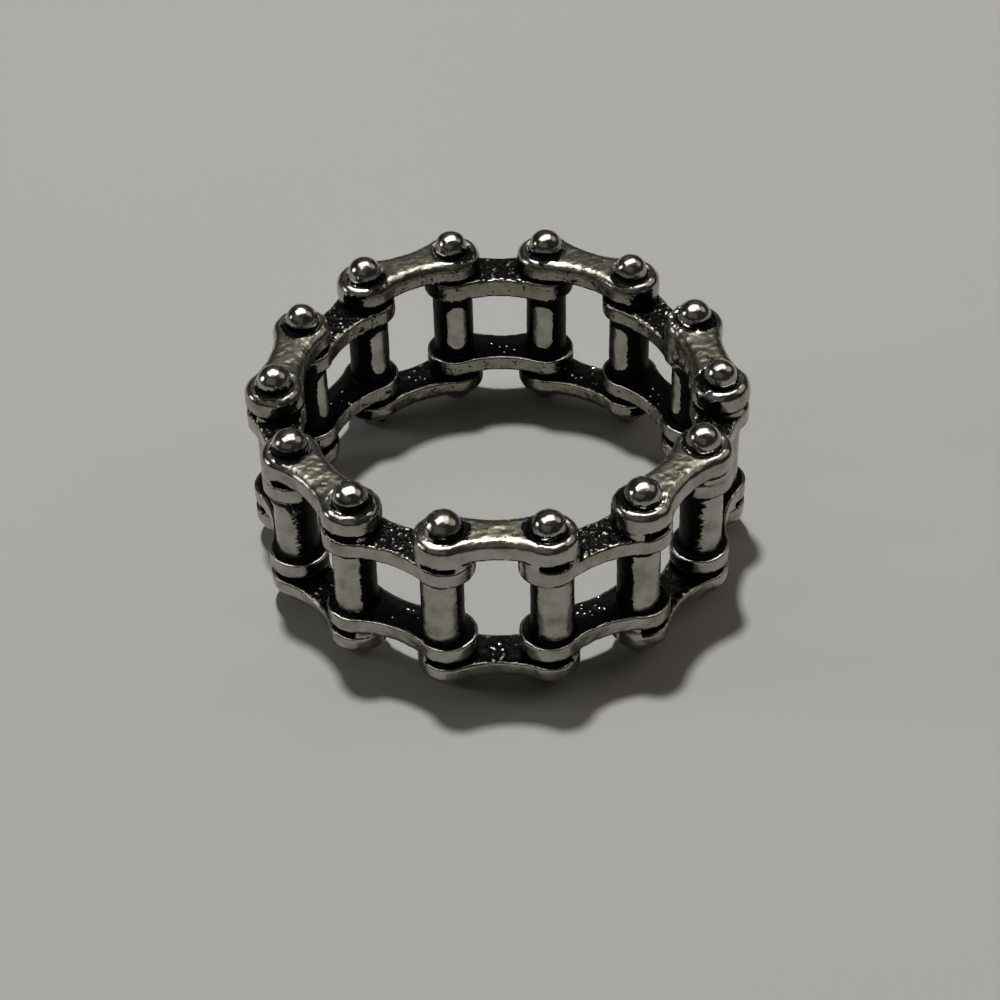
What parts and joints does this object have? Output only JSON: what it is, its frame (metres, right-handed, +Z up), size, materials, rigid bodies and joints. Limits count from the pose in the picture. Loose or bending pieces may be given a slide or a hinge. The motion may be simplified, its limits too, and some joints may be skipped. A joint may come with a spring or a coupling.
{
  "type": "chain link ring",
  "caption": "Finger ring cast as a closed loop of roller chain: waisted link plates, rollers and round rivet heads around an open finger hole.",
  "frame": {"origin": "on the finger hole's axis, at the level of the lowest points of the lower rivet heads, on which the ring rests", "axes": "+Z up along the finger hole's axis; -Y from the axis to the middle of the front outer link"},
  "size_m": [0.0254, 0.0248, 0.0111],
  "materials": {
    "steel": "polished"
  },
  "bodies": {
    "root": {"band": "steel"}
  },
  "joints": []
}
